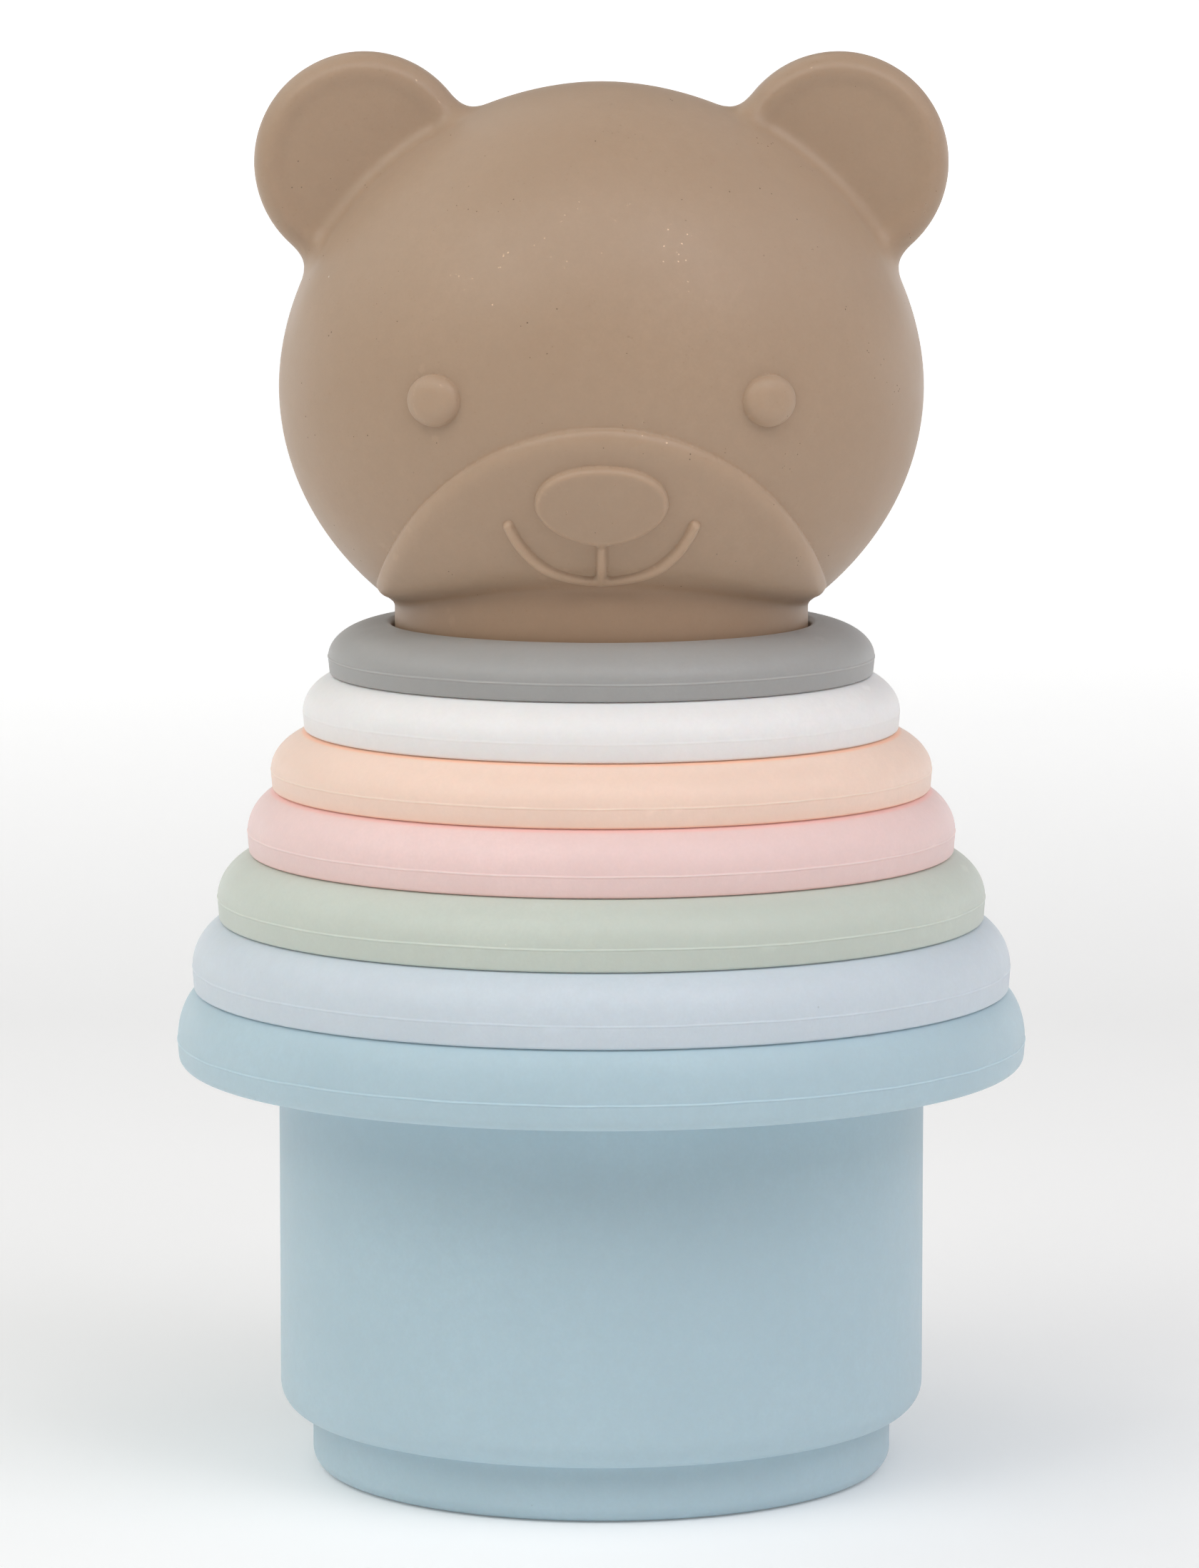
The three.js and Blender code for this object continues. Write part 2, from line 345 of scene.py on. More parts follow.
MOUTH_CENTRE, MOUTH_RADIUS, MOUTH_SWEEP = 106.9, 10.0, 1.17
LINE_HALF = 0.52
LINE_RAISE = 0.7
LINE_BLEND = 0.5
FACE_FRONT = (4.0, 9.0)  # distances before the head's middle between which the face fades in
LINE_HIGHLIGHT, EYE_HIGHLIGHT = 0.8, 0.35  # painted highlights: how much paler each one is painted
NOSE_HIGHLIGHT, NOSE_HIGHLIGHT_REACH = 0.35, 0.35
MUZZLE_HIGHLIGHT, MUZZLE_HIGHLIGHT_REACH = 0.3, 0.8
NOSE_MASK = 0.3  # the lines' painted highlight ends within this distance of the nose's outline
CHIN_NECK_REACH, CHIN_SKULL_REACH = 1.4, 0.5  # of the shade under the chin
CHIN_MIDDLE = 0.35  # how deep it is in the middle
CHIN_SIDES = (4.0, 16.0)  # distances from the middle between which it deepens
NECK_SHADE = 0.2  # painted shade: how far the neck's colour deepens where it sits in the smallest cup
NECK_SHADE_REACH = 1.5
CELL = 0.7  # size of the head mesh's first faces
CELL_SPAN = (38.0, 31.5, 2.0)  # half the meshed width and depth, and the room above and below
FINER_REACHES = (1.4, 0.5, 0.15)  # faces are split within these distances of a detail, in turn
CREASE_MARGIN = 0.2
MUZZLE_CREASE = 0.15  # inside the muzzle's outline
DETAIL_FRONT = 5  # the face's details lie at least this far before the head's middle
SKIN = 0.2  # points this near the outside are on it
SLOPE_SHIFT = 0.02  # each way, for the slope of a distance
LEAST_STEEP = 0.2
TINY = 1e-6


def smooth_min(a, b, blend):
    share = np.maximum(blend - np.abs(a - b), 0) / blend
    return np.minimum(a, b) - share * share * blend / 4


def smooth_step(value, low, high):
    t = np.clip((value - low) / (high - low), 0, 1)
    return t * t * (3 - 2 * t)


def skull(p, grow):
    """Distance to the head's rounded body, grown or shrunk."""
    lower = p[:, 2] < HEAD_CENTRE
    tall = np.where(lower, HEAD_DOWN[0], HEAD_UP[0]) + grow
    power = np.where(lower, HEAD_DOWN[1], HEAD_UP[1])
    wide, deep = HEAD_AXES[0] + grow, HEAD_AXES[1] + grow
    x, y = p[:, 0] / wide, p[:, 1] / deep
    z = np.abs(p[:, 2] - HEAD_CENTRE) / tall
    ring = np.maximum(np.hypot(x, y), TINY)
    gauge = np.maximum((ring**power + z**power) ** (1 / power), TINY)
    outward = gauge ** (1 - power)
    slope_x = outward * ring ** (power - 2) * x / wide
    slope_y = outward * ring ** (power - 2) * y / deep
    slope_z = outward * z ** (power - 1) / tall
    return (gauge - 1) / np.sqrt(slope_x**2 + slope_y**2 + slope_z**2)


def rounded_post(across, along, round_edge):
    """Distance to a corner rounded by an arc, from the distances past its two faces."""
    a, b = across + round_edge, along + round_edge
    outside = np.hypot(np.maximum(a, 0), np.maximum(b, 0))
    return outside + np.minimum(np.maximum(a, b), 0) - round_edge


def ear_centre_distance(p):
    return np.hypot(np.abs(p[:, 0]) - EAR_SIDE, p[:, 2] - EAR_HEIGHT)


def ears(p):
    """Both ears: thick rounded discs whose front face lies sunk inside a rounded band."""
    across = ear_centre_distance(p)
    disc = rounded_post(across - EAR_RADIUS, np.abs(p[:, 1]) - EAR_HALF, EAR_ROUND)
    line = EAR_RADIUS - EAR_BAND
    sunk = 1 - smooth_step(across, line - EAR_SLOPE[0], line + EAR_SLOPE[1])
    return disc + EAR_RECESS * sunk * smooth_step(-p[:, 1], *EAR_FRONT)


def neck(p):
    across = np.hypot(p[:, 0], p[:, 1]) - NECK_RADIUS
    end = NECK_END - p[:, 2]
    top = p[:, 2] - NECK_END - NECK_RISE
    return np.maximum(rounded_post(across, end, NECK_ROUND), top)


def head_outside(p):
    banded = smooth_step(ear_centre_distance(p), EAR_RADIUS - EAR_BLEND_START, EAR_RADIUS)
    blend = EAR_BLEND + EAR_BAND_BLEND * banded
    return smooth_min(smooth_min(skull(p, 0), ears(p), blend), neck(p), NECK_BLEND)


def head_inside(p):
    bore = np.hypot(p[:, 0], p[:, 1]) - NECK_RADIUS + WALL
    bore = np.maximum(bore, p[:, 2] - NECK_END - NECK_RISE)
    return smooth_min(skull(p, -HEAD_WALL), bore, HOLLOW_BLEND)


def head_field(p):
    return -smooth_min(-head_outside(p), head_inside(p), NECK_MOUTH_BLEND)


def gradient(field, p):
    out = np.empty_like(p)
    for axis in range(3):
        shift = np.zeros(3)
        shift[axis] = SLOPE_SHIFT
        out[:, axis] = (field(p + shift) - field(p - shift)) / (2 * SLOPE_SHIFT)
    return out


def settle(field, p, rounds):
    """Moves points onto the field's surface."""
    for _ in range(rounds):
        slope = gradient(field, p)
        steep = np.maximum((slope**2).sum(1), LEAST_STEEP)
        move = (field(p) / steep)[:, None] * slope
        p = p - np.clip(move, -CELL, CELL)
    return p


def surface_net(field, low, high, cell):
    """A closed quad mesh of the field's surface: one point a cell, one face a crossed edge."""
    counts = np.ceil((np.array(high) - low) / cell).astype(int) + 1
    axes = [low[k] + cell * np.arange(counts[k]) for k in range(3)]
    grid = np.stack(np.meshgrid(*axes, indexing="ij"), axis=-1)
    solid = (field(grid.reshape(-1, 3)) < 0).reshape(counts)
    corners = sum(
        solid[a : counts[0] - 1 + a, b : counts[1] - 1 + b, c : counts[2] - 1 + c].astype(np.int8)
        for a in (0, 1)
        for b in (0, 1)
        for c in (0, 1)
    )
    active = (corners > 0) & (corners < 8)
    index = np.full(active.shape, -1)
    index[active] = np.arange(active.sum())
    points = (grid[:-1, :-1, :-1] + cell / 2)[active]
    faces = []
    for axis in range(3):
        one, two = (axis + 1) % 3, (axis + 2) % 3
        here = [slice(1, n - 1) for n in counts]
        here[axis] = slice(0, counts[axis] - 1)
        there = list(here)
        there[axis] = slice(1, counts[axis])
        crossed = np.argwhere(solid[tuple(here)] != solid[tuple(there)])
        crossed += [0 if k == axis else 1 for k in range(3)]
        start_inside = solid[tuple(crossed.T)]
        ring = []
        for back_one, back_two in ((0, 0), (1, 0), (1, 1), (0, 1)):
            cell_at = crossed.copy()
            cell_at[:, one] -= back_one
            cell_at[:, two] -= back_two
            ring.append(index[tuple(cell_at.T)])
        quads = np.stack(ring, axis=1)
        quads[~start_inside] = quads[~start_inside][:, ::-1]
        faces.append(quads)
    return points, np.vstack(faces)


def relax(points, faces, field, rounds):
    """Evens out the mesh along its own surface."""
    edges = np.vstack([faces[:, [k, (k + 1) % 4]] for k in range(4)])
    count = np.bincount(edges[:, 0], minlength=len(points)).astype(float)
    count += np.bincount(edges[:, 1], minlength=len(points))
    for _ in range(rounds):
        mean = np.empty_like(points)
        for axis in range(3):
            total = np.bincount(edges[:, 0], points[edges[:, 1], axis], len(points))
            total += np.bincount(edges[:, 1], points[edges[:, 0], axis], len(points))
            mean[:, axis] = total / count
        points = settle(field, points + 0.5 * (mean - points), 1)
    return settle(field, points, 3)


# the face's raised features, as distances in the x-z plane: negative inside


def muzzle_shape(x, z):
    return np.hypot(x, z - MUZZLE[0]) - MUZZLE[1]


def nose_shape(x, z):
    upper = z > NOSE_WIDEST
    tall = np.where(upper, NOSE_TOP - NOSE_WIDEST, NOSE_WIDEST - NOSE_BOTTOM)
    power = np.where(upper, *NOSE_POWERS)
    across, along = np.abs(x) / NOSE_HALF_WIDTH, np.abs(z - NOSE_WIDEST) / tall
    gauge = np.maximum((across**power + along**power) ** (1 / power), TINY)
    slope_x = (across / gauge) ** (power - 1) / NOSE_HALF_WIDTH
    slope_z = (along / gauge) ** (power - 1) / tall
    return (gauge - 1) / np.hypot(slope_x, slope_z)


def line_shape(x, z):
    """The smile and the line down to it from the nose, with round ends."""
    turn = np.clip(np.arctan2(x, MOUTH_CENTRE - z), -MOUTH_SWEEP, MOUTH_SWEEP)
    smile_x = MOUTH_RADIUS * np.sin(turn)
    smile_z = MOUTH_CENTRE - MOUTH_RADIUS * np.cos(turn)
    smile = np.hypot(x - smile_x, z - smile_z)
    low = MOUTH_CENTRE - MOUTH_RADIUS
    line = np.hypot(x, z - np.clip(z, low, NOSE_BOTTOM + 1))
    return smooth_min(smile, line, LINE_BLEND) - LINE_HALF


def eye_shape(x, z):
    return np.hypot(np.abs(x) - EYE[0], z - EYE[1]) - EYE[2]


def plateau(distance, edge):
    """0 outside, rising through a quarter circle to 1 an edge's width inside."""
    t = np.clip(-distance / edge, 0, 1)
    return np.sqrt(1 - (1 - t) ** 2)


def relief(p):
    """How far the face stands out of the head's body at each point."""
    x, z = p[:, 0], p[:, 2]
    front = smooth_step(-p[:, 1], *FACE_FRONT)
    clear_of_neck = smooth_step(neck(p), 0.0, MUZZLE_FADE)
    muzzle = MUZZLE_RAISE * plateau(muzzle_shape(x, z), MUZZLE_EDGE) * clear_of_neck
    line = line_shape(x, z)
    nose_and_line = smooth_min(nose_shape(x, z), line + NOSE_LINE_INSET, NOSE_LINE_BLEND)
    nose = NOSE_RAISE * plateau(nose_and_line, NOSE_EDGE)
    lines = LINE_RAISE * plateau(line, LINE_HALF)
    eye = eye_shape(x, z)
    dimple = DIMPLE_DEPTH * np.exp(-(((eye + EYE[2]) / DIMPLE_REACH) ** 2))
    eyes = EYE_RAISE * plateau(eye, EYE_EDGE) - dimple
    return front * (muzzle + np.maximum(nose, lines) + np.maximum(eyes, 0))


def near_detail(p, reach):
    """Whether each point is near the edge of a raised feature of the face, or near a crease."""
    x, z = p[:, 0], p[:, 2]
    edges = np.abs(nose_shape(x, z) + NOSE_EDGE / 2) - NOSE_EDGE / 2
    edges = np.minimum(edges, line_shape(x, z))
    edges = np.minimum(edges, eye_shape(x, z))
    edges = np.minimum(edges, np.abs(muzzle_shape(x, z) + MUZZLE_CREASE))
    on_ear = np.abs(p[:, 1]) < EAR_HALF + 1
    ear_crease = (np.hypot(skull(p, 0), ears(p)) < reach + CREASE_MARGIN) & on_ear
    neck_crease = np.hypot(skull(p, 0), neck(p)) < reach + CREASE_MARGIN
    return ((edges < reach) & (p[:, 1] < -DETAIL_FRONT)) | ear_crease | neck_crease


def painted_highlights(p):
    """Painted highlights: where the raised lines and edges of the face are painted paler, from 0 to
    1.
    """
    x, z = p[:, 0], p[:, 2]
    nose_way = nose_shape(x, z)
    muzzle_way = muzzle_shape(x, z)
    off_nose = smooth_step(nose_way, -NOSE_MASK, NOSE_MASK)
    lines = LINE_HIGHLIGHT * plateau(line_shape(x, z), LINE_HALF) * off_nose
    nose = NOSE_HIGHLIGHT * np.exp(-(((nose_way + NOSE_EDGE / 2) / NOSE_HIGHLIGHT_REACH) ** 2))
    muzzle = MUZZLE_HIGHLIGHT * np.exp(-(((muzzle_way + MUZZLE_EDGE / 2) / MUZZLE_HIGHLIGHT_REACH) ** 2))
    eyes = EYE_HIGHLIGHT * plateau(eye_shape(x, z), EYE[2])
    return np.maximum.reduce([lines, nose, muzzle, eyes]) * smooth_step(-p[:, 1], *FACE_FRONT)


def chin_shade(p):
    """The soft dark band where the head's underside meets the neck, deepest at its sides."""
    to_neck = np.exp(-((neck(p) / CHIN_NECK_REACH) ** 2))
    band = to_neck * np.exp(-((skull(p, 0) / CHIN_SKULL_REACH) ** 2))
    return band * (CHIN_MIDDLE + (1 - CHIN_MIDDLE) * smooth_step(np.abs(p[:, 0]), *CHIN_SIDES))


def points_of(shape):
    return np.array([v.co for v in shape.verts])


def move_points(shape, places):
    for vert, place in zip(shape.verts, places):
        vert.co = place


def refined_head():
    """The head's surface as a bmesh, with smaller faces near its details."""
    wide, deep, room = CELL_SPAN
    low = np.array([-wide, -deep, NECK_END - room])
    high = np.array([wide, deep, EAR_HEIGHT + EAR_RADIUS + room])
    points, faces = surface_net(head_field, low, high, CELL)
    points = relax(settle(head_field, points, 4), faces, head_field, 6)
    mesh = bpy.data.meshes.new("bear_head_fine")
    mesh.from_pydata(points.tolist(), [], faces.tolist())
    shape = bmesh.new()
    shape.from_mesh(mesh)
    for reach in FINER_REACHES:
        wanted = near_detail(points_of(shape), reach)
        chosen = [e for e in shape.edges if all(wanted[v.index] for v in e.verts)]
        bmesh.ops.subdivide_edges(shape, edges=chosen, cuts=1, use_grid_fill=True)
        shape.verts.index_update()
        move_points(shape, settle(head_field, points_of(shape), 3))
    return mesh, shape


def head_mesh():
    """The head, with its face raised on the outside only."""
    mesh, shape = refined_head()
    placed = points_of(shape)
    outer = np.abs(head_outside(placed)) < SKIN
    slope = gradient(head_outside, placed)
    slope /= np.linalg.norm(slope, axis=1)[:, None]
    raised = placed + slope * (relief(placed) * outer)[:, None]
    move_points(shape, raised * MM)
    bmesh.ops.recalc_face_normals(shape, faces=shape.faces)
    shape.to_mesh(mesh)
    shape.free()
    mesh.shade_smooth()
    # painted highlights on the face's raised lines, edges and eyes
    write_attribute(mesh, "painted_highlight", painted_highlights(placed) * outer)
    # painted shade on the neck where it sits in the smallest cup
    in_cup_shade = NECK_SHADE * (1 - smooth_step(neck(placed), 0.0, NECK_SHADE_REACH))
    write_attribute(mesh, "contact_shade", in_cup_shade)
    write_attribute(mesh, "shade", chin_shade(placed))
    return mesh


# ---- materials


class Graph:
    """Short forms for building a material's nodes."""

    def __init__(self, name):
        self.material = bpy.data.materials.new(name)
        self.material.use_nodes = True
        self.tree = self.material.node_tree
        self.shader = self.tree.nodes["Principled BSDF"]
        self.where = self.add("ShaderNodeTexCoord").outputs["Object"]

    def add(self, kind, **settings):
        node = self.tree.nodes.new(kind)
        for key, value in settings.items():
            setattr(node, key, value)
        return node

    def put(self, value, socket):
        if isinstance(value, bpy.types.NodeSocket):
            self.tree.links.new(value, socket)
        else:
            socket.default_value = value

    def noise(self, size_mm, detail, seed=0.0):
        """A noise whose features are about size_mm across, from 0 to 1."""
        node = self.add("ShaderNodeTexNoise", noise_dimensions="4D")
        self.put(self.where, node.inputs["Vector"])
        self.put(seed, node.inputs["W"])
        self.put(1 / (size_mm * MM), node.inputs["Scale"])
        self.put(detail, node.inputs["Detail"])
        return node.outputs["Fac"]

    def spread(self, value, low, high, to_low, to_high):
        """The value's range from low to high mapped, with its ends held, to another range."""
        node = self.add("ShaderNodeMapRange")
        self.put(value, node.inputs["Value"])
        self.put(low, node.inputs["From Min"])
        self.put(high, node.inputs["From Max"])
        self.put(to_low, node.inputs["To Min"])
        self.put(to_high, node.inputs["To Max"])
        return node.outputs["Result"]

    def maths(self, operation, a, b):
        node = self.add("ShaderNodeMath", operation=operation)
        self.put(a, node.inputs[0])
        self.put(b, node.inputs[1])
        return node.outputs[0]

    def mix(self, share, a, b):
        node = self.add("ShaderNodeMix", data_type="RGBA")
        self.put(share, node.inputs["Factor"])
        self.put(a, node.inputs["A"])
        self.put(b, node.inputs["B"])
        return node.outputs["Result"]

    def attribute(self, name):
        return self.add("ShaderNodeAttribute", attribute_name=name).outputs["Fac"]

    def cell_distance(self, size_mm):
        """The distance to the nearest of the points scattered about size_mm apart."""
        node = self.add("ShaderNodeTexVoronoi", feature="F1")
        self.put(self.where, node.inputs["Vector"])
        self.put(1 / (size_mm * MM), node.inputs["Scale"])
        return node.outputs["Distance"]

    def bump(self, height, distance_mm, strength, normal=None):
        node = self.add("ShaderNodeBump")
        self.put(height, node.inputs["Height"])
        self.put(distance_mm * MM, node.inputs["Distance"])
        self.put(strength, node.inputs["Strength"])
        if normal is not None:
            self.put(normal, node.inputs["Normal"])
        return node.outputs["Normal"]


def linear(srgb):
    """An sRGB colour from 0 to 255 as the linear one that shaders take."""
    out = []
    for value in srgb:
        v = value / 255
        out.append(v / 12.92 if v <= 0.04045 else ((v + 0.055) / 1.055) ** 2.4)
    return out + [1.0]


def scaled(colour, factor):
    return [min(1.0, c * factor) for c in colour[:3]] + [1.0]


def deepened(colour, power):
    """The same colour more saturated and as bright in its strongest part."""
    strongest = max(colour[:3])
    return [strongest * (c / strongest) ** power for c in colour[:3]] + [1.0]


# sizes of the silicone's features in millimetres, and how strongly each one shows

BROAD, NARROW = (0.3, 0.7), (0.35, 0.65)  # the range of a noise that is spread from 0 to 1
CLOUD_SIZE, CLOUD_DARK, CLOUD_LIGHT = 22, 0.975, 1.045
MOTTLE_SIZE, MOTTLE_SHARE, MOTTLE_TONE = 1.4, 0.35, 0.94
PORE_SIZE, PORE_SHARE, PORE_TONE = 0.35, 0.3, 0.93
WORN_EDGES, WORN_SHARE, WORN_TONE = (0.52, 0.62), 0.5, 1.12
# painted shade: hollows deepened in colour where shade falls
SHADED_HOLLOWS, HOLLOW_SHADE_SHARE, HOLLOW_SHADE_DEPTH = (0.4, 0.49), 0.8, 1.5
# painted highlights on the parting line's ridge and the face's raised details
HIGHLIGHT_SHARE, HIGHLIGHT_TONE = 0.6, 1.3
SHADE_SHARE, SHADE_TONE = 0.5, 0.5
# painted shade and painted glow where two pieces all but touch
CONTACT_SHADE_DEPTH, CONTACT_GLOW = 3.5, 0.35
SPECK_SPACING, SPECK_EDGE, SPECK_SHARE = 6.5, (0.012, 0.02), 0.5
LINT_PATCH, LINT_EDGE, LINT_DARK = 9, (0.5, 0.52), 0.62
LINT_PALE = [0.9, 0.88, 0.84, 1]
FLAKE_SIZE, FLAKE_EDGE, FLAKE_SHINE = 0.6, (0.13, 0.17), 0.2
FLAKE_PATCH, FLAKE_PATCH_EDGE = 1.3, (0.5, 0.6)
SHINE_PATCH, SHINE_LOW, SHINE_HIGH = 7, -0.05, 0.06
SWELL = (0.05, 0.35)  # a bump's depth and strength, as in the next two
GRAIN = (0.012, 0.6)
SPECK_BUMP = (0.03, 0.5)
SWELL_SIZE, GRAIN_SIZE = 9, 0.22
ROUGHNESS = 0.46
REFRACTION = 1.42
SCATTER, SCATTER_RADIUS, SCATTER_DEPTH = 0.3, (1.0, 0.6, 0.45), 1.2
SHEEN, SHEEN_ROUGHNESS = 0.08, 0.5


def moulded_colour(g, base, seed):
    """Faint mottling and pores, worn edges, painted shade deepening the hollows, painted highlights
    on the parting line's ridge and the face's raised details, and the painted shade under the chin.
    """
    cloud = g.spread(g.noise(CLOUD_SIZE, 3, seed), *BROAD, 0, 1)
    colour = g.mix(cloud, scaled(base, CLOUD_DARK), scaled(base, CLOUD_LIGHT))
    mottle = g.spread(g.noise(MOTTLE_SIZE, 4, seed + 3), *NARROW, 0, 1)
    colour = g.mix(g.maths("MULTIPLY", mottle, MOTTLE_SHARE), colour, scaled(base, MOTTLE_TONE))
    pores = g.spread(g.noise(PORE_SIZE, 2, seed + 5), *NARROW, 0, 1)
    colour = g.mix(g.maths("MULTIPLY", pores, PORE_SHARE), colour, scaled(base, PORE_TONE))

    edge = g.add("ShaderNodeNewGeometry").outputs["Pointiness"]
    worn = g.spread(edge, *WORN_EDGES, 0, WORN_SHARE)
    colour = g.mix(worn, colour, scaled(base, WORN_TONE))
    # painted shade in the hollows
    hollow = g.spread(edge, *SHADED_HOLLOWS, HOLLOW_SHADE_SHARE, 0)
    colour = g.mix(hollow, colour, deepened(base, HOLLOW_SHADE_DEPTH))

    # painted highlight: paler on the parting line's ridge and the face's raised details
    painted_highlight = g.maths("MULTIPLY", g.attribute("painted_highlight"), HIGHLIGHT_SHARE)
    colour = g.mix(painted_highlight, colour, scaled(base, HIGHLIGHT_TONE))
    shade = g.maths("MULTIPLY", g.attribute("shade"), SHADE_SHARE)
    return g.mix(shade, colour, scaled(base, SHADE_TONE))


def contact_shade_and_glow(g, colour, base):
    """Painted shade, a deeper colour, where two pieces all but touch, with a painted glow for the
    light scattered between them.
    """
    contact_shade = g.attribute("contact_shade")
    warmth = max(0.0, base[0] - base[2])
    deep = deepened(base, 1 + CONTACT_SHADE_DEPTH * warmth)
    g.put(deep, g.shader.inputs["Emission Color"])
    g.put(g.maths("MULTIPLY", contact_shade, CONTACT_GLOW * warmth), g.shader.inputs["Emission Strength"])
    return g.mix(contact_shade, colour, deep)


def dusty_colour(g, colour, base, specks, seed):
    """Specks of dust and lint, dark in some patches and pale in others."""
    pale = g.spread(g.noise(LINT_PATCH, 0, seed + 7), *LINT_EDGE, 0, 1)
    lint = g.mix(pale, scaled(base, LINT_DARK), LINT_PALE)
    return g.mix(g.maths("MULTIPLY", specks, SPECK_SHARE), colour, lint)


def flake_share(g, glitter, seed):
    """Where pigment flakes that catch the light lie in the surface."""
    flake = g.spread(g.cell_distance(FLAKE_SIZE), *FLAKE_EDGE, glitter, 0)
    patch = g.spread(g.noise(FLAKE_PATCH, 0, seed + 19), *FLAKE_PATCH_EDGE, 0, 1)
    return g.maths("MULTIPLY", flake, patch)


def grained(g, specks, seed):
    """Gentle swells, the fine grain of a blasted mould, and the specks' own height."""
    swell = g.bump(g.noise(SWELL_SIZE, 1, seed + 13), *SWELL)
    grain = g.bump(g.noise(GRAIN_SIZE, 3, seed + 17), *GRAIN, swell)
    return g.bump(specks, *SPECK_BUMP, grain)


def silicone(name, srgb, seed, roughness, glitter):
    """Matte moulded silicone; the glitter is how metallic its pigment flakes are."""
    g = Graph(name)
    base = linear(srgb)
    specks = g.spread(g.cell_distance(SPECK_SPACING), *SPECK_EDGE, 1, 0)
    colour = moulded_colour(g, base, seed)
    colour = contact_shade_and_glow(g, colour, base)
    colour = dusty_colour(g, colour, base, specks, seed)
    g.put(colour, g.shader.inputs["Base Color"])

    flake = flake_share(g, glitter, seed)
    g.put(flake, g.shader.inputs["Metallic"])
    low, high = roughness + SHINE_LOW, roughness + SHINE_HIGH
    patchy = g.spread(g.noise(SHINE_PATCH, 3, seed + 11), *BROAD, low, high)
    shine = g.maths("SUBTRACT", patchy, g.maths("MULTIPLY", flake, FLAKE_SHINE))
    g.put(shine, g.shader.inputs["Roughness"])
    g.put(grained(g, specks, seed), g.shader.inputs["Normal"])

    g.put(REFRACTION, g.shader.inputs["IOR"])
    g.put(SCATTER, g.shader.inputs["Subsurface Weight"])
    g.put(SCATTER_RADIUS, g.shader.inputs["Subsurface Radius"])
    g.put(SCATTER_DEPTH * MM, g.shader.inputs["Subsurface Scale"])
    g.put(SHEEN, g.shader.inputs["Sheen Weight"])
    g.put(SHEEN_ROUGHNESS, g.shader.inputs["Sheen Roughness"])
    return g.material


FLOOR_GLOW = 0.1
BACKDROP_GLOW = 0.68
FAR_GLOW = 0.24
BACKDROP_START, BACKDROP_END = 0.3, 1.05  # metres behind the tower
FAR_START, FAR_END = 1.1, 2.8  # metres from the tower on every side
GREY_START, GREY_END = 0.6, 1.3  # metres above the floor
FIBRE_SIZE = 60
PAPER_DARK, PAPER_LIGHT = [0.93, 0.93, 0.93, 1], [0.95, 0.95, 0.95, 1]
WALL_GREY = [0.3, 0.3, 0.3, 1]
PAPER_ROUGHNESS = 0.7


def studio_floor():
    """White paper, lit up behind the tower, that turns to grey up the studio's walls."""
    g = Graph("studio_floor")
    fibre = g.mix(g.noise(FIBRE_SIZE, 3), PAPER_DARK, PAPER_LIGHT)
    place = g.add("ShaderNodeSeparateXYZ")
    g.put(g.where, place.inputs[0])
    up = g.spread(place.outputs["Z"], GREY_START, GREY_END, 0, 1)
    g.put(g.mix(up, fibre, WALL_GREY), g.shader.inputs["Base Color"])
    far = g.add("ShaderNodeVectorMath", operation="LENGTH")
    g.put(g.where, far.inputs[0])
    behind = g.spread(place.outputs["Y"], BACKDROP_START, BACKDROP_END, FLOOR_GLOW, BACKDROP_GLOW)
    around = g.spread(far.outputs["Value"], FAR_START, FAR_END, 0, FAR_GLOW)
    glow = g.maths("MULTIPLY", g.maths("ADD", behind, around), g.maths("SUBTRACT", 1, up))
    g.put((1, 1, 1, 1), g.shader.inputs["Emission Color"])
    g.put(glow, g.shader.inputs["Emission Strength"])
    g.put(PAPER_ROUGHNESS, g.shader.inputs["Roughness"])
    return g.material


SILICONES = {
    "teal": (180, 203, 213),
    "pale_blue": (205, 215, 223),
    "sage": (200, 207, 197),
    "pink": (237, 208, 204),
    "peach": (243, 214, 197),
    "white": (237, 235, 234),
    "grey": (162, 161, 159),
    "tan": (173, 147, 123),
}
TAN_ROUGHNESS, TAN_GLITTER = 0.42, 0.65


# ---- the pieces


def show(mesh, name, body, node, colour, seed, roughness=ROUGHNESS, glitter=0.0):
    """Puts a fine mesh on its body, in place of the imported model's node."""
    piece = bpy.data.objects.new(name, mesh)
    bpy.context.scene.collection.objects.link(piece)
    coat = silicone(colour + "_silicone", SILICONES[colour], seed, roughness, glitter)
    mesh.materials.append(coat)
    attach(piece, body)
    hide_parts(node)


def show_cup(i):
    colour = CUPS[i]
    node = colour + "_cup"
    outline, parting = cup_outline(i)
    mesh = lathe_mesh(node + "_fine", outline, parting, FLASH_SHARE[colour], contact_points(i), i)
    show(mesh, node + "_body", node, node, colour, i)


def show_head():
    node = "bear_head"
    show(head_mesh(), node + "_body", node, node, "tan", len(CUPS), TAN_ROUGHNESS, TAN_GLITTER)


# ---- the stage


FLOOR_RADIUS = 3.6  # the studio's sizes are in metres
FLOOR_RINGS = (0.3, 1.0, 2.2)
CURVE_RADIUS = 0.9
STUDIO_WALL = 3.5
STUDIO_SIDES = 96


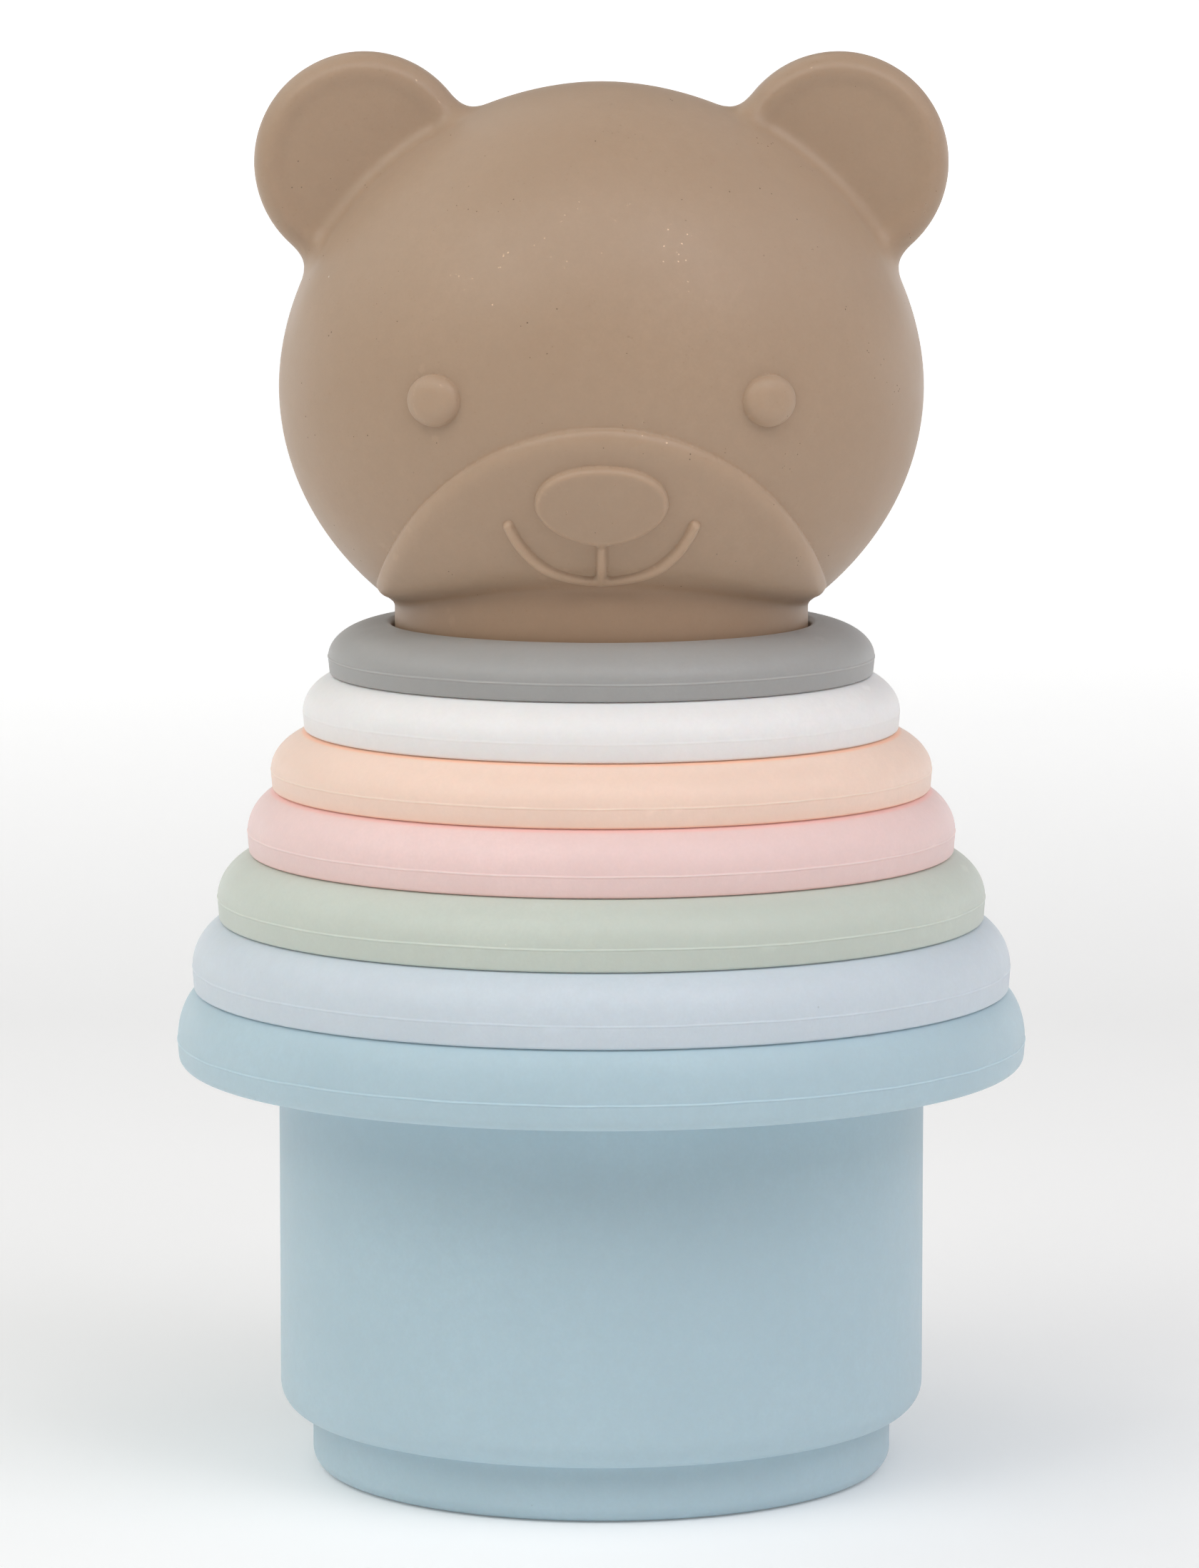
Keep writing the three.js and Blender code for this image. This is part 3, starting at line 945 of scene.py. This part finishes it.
def studio_mesh():
    """A round floor that curves up into a plain wall all round."""
    outline = [(r, 0.0) for r in FLOOR_RINGS]
    outline += arc((FLOOR_RADIUS, CURVE_RADIUS), (CURVE_RADIUS, CURVE_RADIUS), -90, 0, 16)
    outline.append((FLOOR_RADIUS + CURVE_RADIUS, STUDIO_WALL))
    turns = np.linspace(0, 2 * math.pi, STUDIO_SIDES + 1)[:-1]
    shape = bmesh.new()
    rings = [
        [shape.verts.new((r * math.cos(t), r * math.sin(t), z)) for t in turns] for r, z in outline
    ]
    shape.faces.new(rings[0])
    for low, high in zip(rings, rings[1:]):
        for k in range(STUDIO_SIDES):
            shape.faces.new((low[k], low[k - 1], high[k - 1], high[k]))
    mesh = bpy.data.meshes.new("studio_floor")
    shape.to_mesh(mesh)
    shape.free()
    mesh.shade_smooth()
    return mesh


def stage():
    floor = bpy.data.objects.new("studio_floor", studio_mesh())
    bpy.context.scene.collection.objects.link(floor)
    floor.data.materials.append(studio_floor())


LIGHT_DISTANCE = 1.25
LIGHT_AIM = Vector((0, 0, 0.1))
WHITE = (1, 1, 1)
WARM = (1.0, 1.0, 0.965)
COOL = (1.0, 0.985, 1.02)
WORLD_GLOW = 0.02


def softbox(name, azimuth, elevation, size, power, colour=WHITE):
    """A square lamp aimed at the tower, with its azimuth from the front to the picture's right."""
    light = bpy.data.lights.new(name, "AREA")
    light.shape = "RECTANGLE"
    light.size = light.size_y = size
    light.energy = power
    light.color = colour
    lamp = bpy.data.objects.new(name, light)
    turn, climb = math.radians(azimuth), math.radians(elevation)
    across, forward = math.sin(turn), -math.cos(turn)
    flat = math.cos(climb)
    away = Vector((across * flat, forward * flat, math.sin(climb)))
    lamp.location = LIGHT_AIM + away * LIGHT_DISTANCE
    lamp.rotation_euler = (-away).to_track_quat("-Z", "Y").to_euler()
    lamp.visible_camera = False
    bpy.context.scene.collection.objects.link(lamp)


def lights():
    world = bpy.data.worlds.new("studio")
    world.use_nodes = True
    background = world.node_tree.nodes["Background"]
    background.inputs["Color"].default_value = (*WHITE, 1)
    background.inputs["Strength"].default_value = WORLD_GLOW
    bpy.context.scene.world = world
    softbox("key_left", -45, 45, 0.7, 4.4, WARM)
    softbox("key_right", 45, 45, 0.7, 4.6, COOL)
    softbox("front_top", 0, 60, 0.8, 3.9)
    softbox("side_left", -90, 35, 0.8, 2.2, WARM)
    softbox("side_right", 90, 35, 0.8, 1.8, COOL)
    softbox("back_left", -135, 45, 1.2, 3.5, WARM)
    softbox("back_right", 135, 45, 1.2, 1.3, COOL)


CAMERA_DISTANCE = 0.750
CAMERA_HEIGHT = 0.1675
CAMERA_SIDE = -0.0002
CAMERA_PITCH = 7.19
SENSOR_HEIGHT = 36
LENS = 164.1


def camera():
    data = bpy.data.cameras.new("camera")
    data.sensor_fit = "VERTICAL"
    data.sensor_height = SENSOR_HEIGHT
    data.lens = LENS
    view = bpy.data.objects.new("camera", data)
    view.location = (CAMERA_SIDE, -CAMERA_DISTANCE, CAMERA_HEIGHT)
    view.rotation_euler = Euler((math.radians(90 - CAMERA_PITCH), 0, 0))
    bpy.context.scene.collection.objects.link(view)
    bpy.context.scene.camera = view


for number in range(len(CUPS)):
    show_cup(number)
show_head()
stage()
lights()
camera()
bpy.context.scene.view_settings.view_transform = "Standard"
